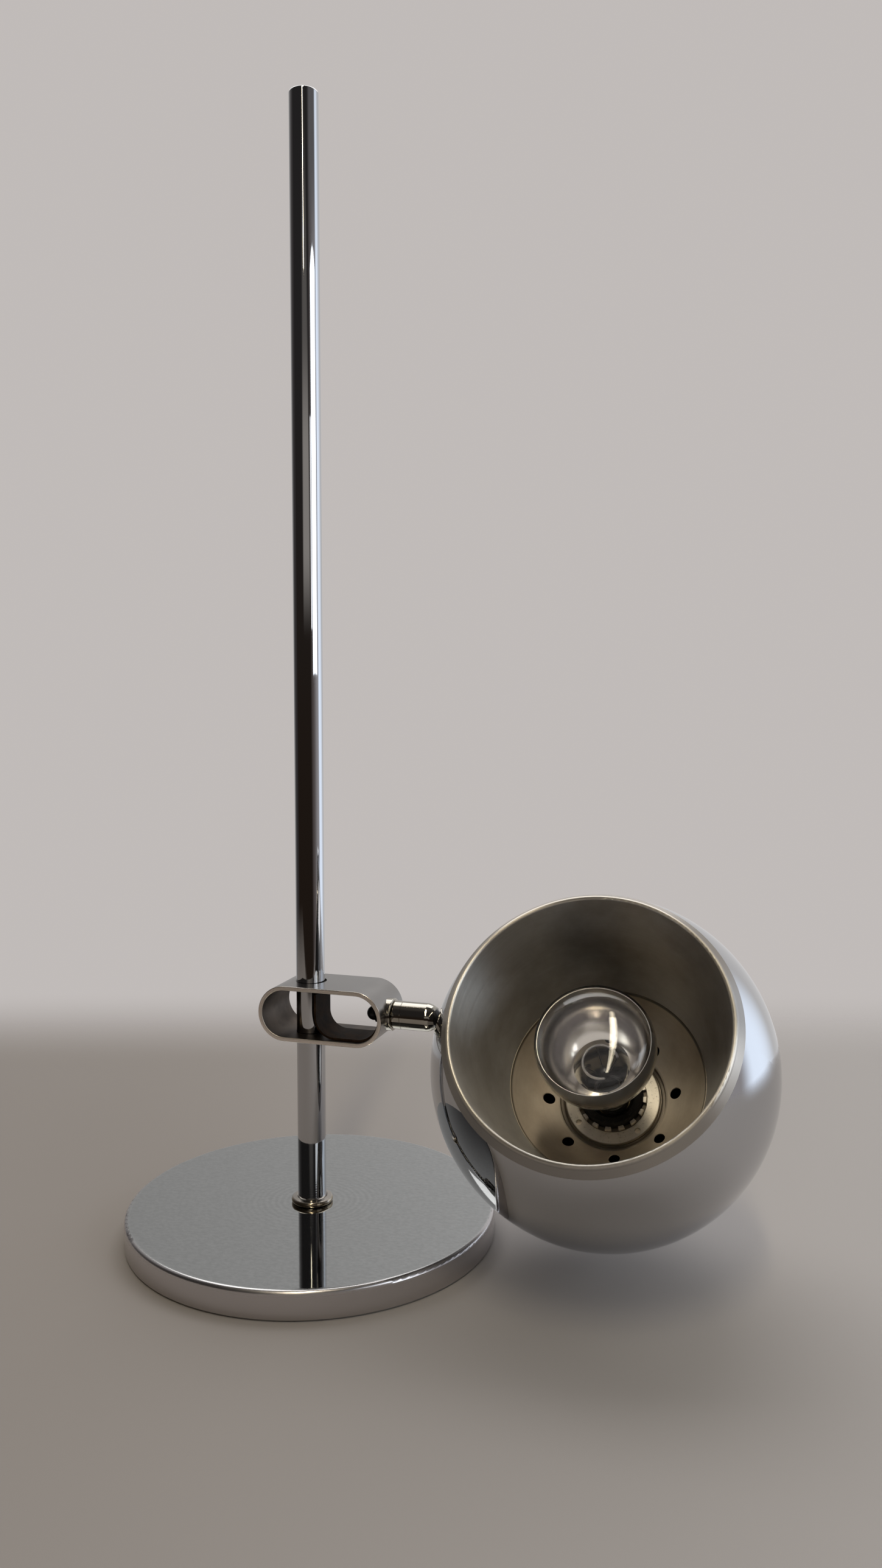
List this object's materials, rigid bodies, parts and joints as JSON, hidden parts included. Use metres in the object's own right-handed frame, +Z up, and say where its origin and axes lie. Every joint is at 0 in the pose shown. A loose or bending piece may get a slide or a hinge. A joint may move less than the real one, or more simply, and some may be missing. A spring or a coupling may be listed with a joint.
{
  "type": "eyeball desk lamp",
  "caption": "Desk lamp: a ball shade on a ball-jointed arm, its looped slider braked by a leaf spring on a round post over a weighted disc base.",
  "frame": {"origin": "middle of the base's underside, on the table", "axes": "+Z up along the post, +X along the arm towards the ball shade, -Y the side that the shade's mouth faces"},
  "size_m": [0.2914, 0.1684, 0.5058],
  "materials": {
    "chrome_plate": "bright chromium plate, polished to a mirror",
    "chrome_satin": "bead-blasted plate with a soft satin glow",
    "spring_steel": "heat-browned spring steel, matt and oiled",
    "black_steel": "blackened steel",
    "zinc_steel": "zinc-plated steel",
    "grey_iron": "rough grey casting",
    "green_felt": "thin dark felt",
    "satin_liner": "spun aluminium, satin on the inside",
    "satin_dish": "pressed aluminium, warmed by use",
    "ring_metal": "pressed aluminium with dull edges",
    "bakelite": "black phenolic moulding",
    "ceramic": "unglazed porcelain",
    "brass": "rolled brass",
    "bushing_plastic": "black moulded plastic",
    "acetal": "natural acetal",
    "bulb_clear": "clear blown glass",
    "bulb_silver": "silver layer on the inside of the glass",
    "cap_metal": "rolled aluminium cap",
    "cap_glass": "black glass insulator",
    "solder": "soft solder button",
    "tungsten": "drawn wire"
  },
  "bodies": {
    "base": {"base_cover": "chrome_plate", "base_weight": "grey_iron", "base_pad": "green_felt", "foot_collar": "chrome_plate", "foot_washer": "zinc_steel", "foot_nut": "zinc_steel"},
    "post": {"post": "chrome_plate", "post_cap": "chrome_plate", "foot_plug": "zinc_steel", "foot_stud": "zinc_steel"},
    "slider": {"slider_loop": "chrome_satin", "brake_spring": "spring_steel", "nut_saddle": "black_steel", "arm_nut": "black_steel", "arm_bolt": "zinc_steel", "arm_washer": "chrome_plate", "arm_hub": "chrome_plate", "arm_sleeve": "chrome_plate", "seat_spring": "spring_steel"},
    "seat": {"ball_seat": "acetal"},
    "swivel": {"swivel_ball": "black_steel", "swivel_washer": "zinc_steel", "swivel_nut": "zinc_steel"},
    "head": {"shade_shell": "chrome_plate", "inner_reflector": "satin_liner", "reflector_dish": "satin_dish", "shade_ring": "ring_metal", "lampholder_body": "bakelite", "lampholder_cap": "bakelite", "terminal_block": "ceramic", "terminal_screws": "brass", "screw_shell": "brass", "centre_contact": "brass", "nipple": "zinc_steel", "nipple_nut": "zinc_steel", "cord_bushing": "bushing_plastic"},
    "bulb": {"bulb_glass": "bulb_clear", "bulb_mirror": "bulb_silver", "bulb_cap": "cap_metal", "bulb_insulator": "cap_glass", "bulb_contact": "solder", "bulb_stem": "bulb_clear", "filament_wires": "tungsten", "filament": "tungsten"}
  },
  "joints": [
    {"name": "post_turn", "type": "hinge", "parent": "base", "child": "post", "pos_m": [0, 0, 0.0125], "axis": [0, 0, 1], "continuous": true},
    {"name": "post_slide", "type": "slide", "parent": "post", "child": "slider", "axis": [0, 0, 1], "range_m": [-0.005, 0.385]},
    {"name": "swivel_roll", "type": "hinge", "parent": "slider", "child": "seat", "pos_m": [0.0578, 0, 0.1033], "axis": [1, 0, 0], "continuous": true},
    {"name": "swivel_tilt", "type": "hinge", "parent": "seat", "child": "swivel", "pos_m": [0.0578, 0, 0.1033], "axis": [0, -1, 0], "range_deg": [-8, 32]},
    {"name": "shade_spin", "type": "hinge", "parent": "swivel", "child": "head", "pos_m": [0.13426, 0, 0.08761], "axis": [0.9796, 0, -0.2011], "continuous": true},
    {"name": "bulb_out", "type": "slide", "parent": "head", "child": "bulb", "axis": [0, -0.7771, 0.6293], "range_m": [0, 0.03]}
  ]
}
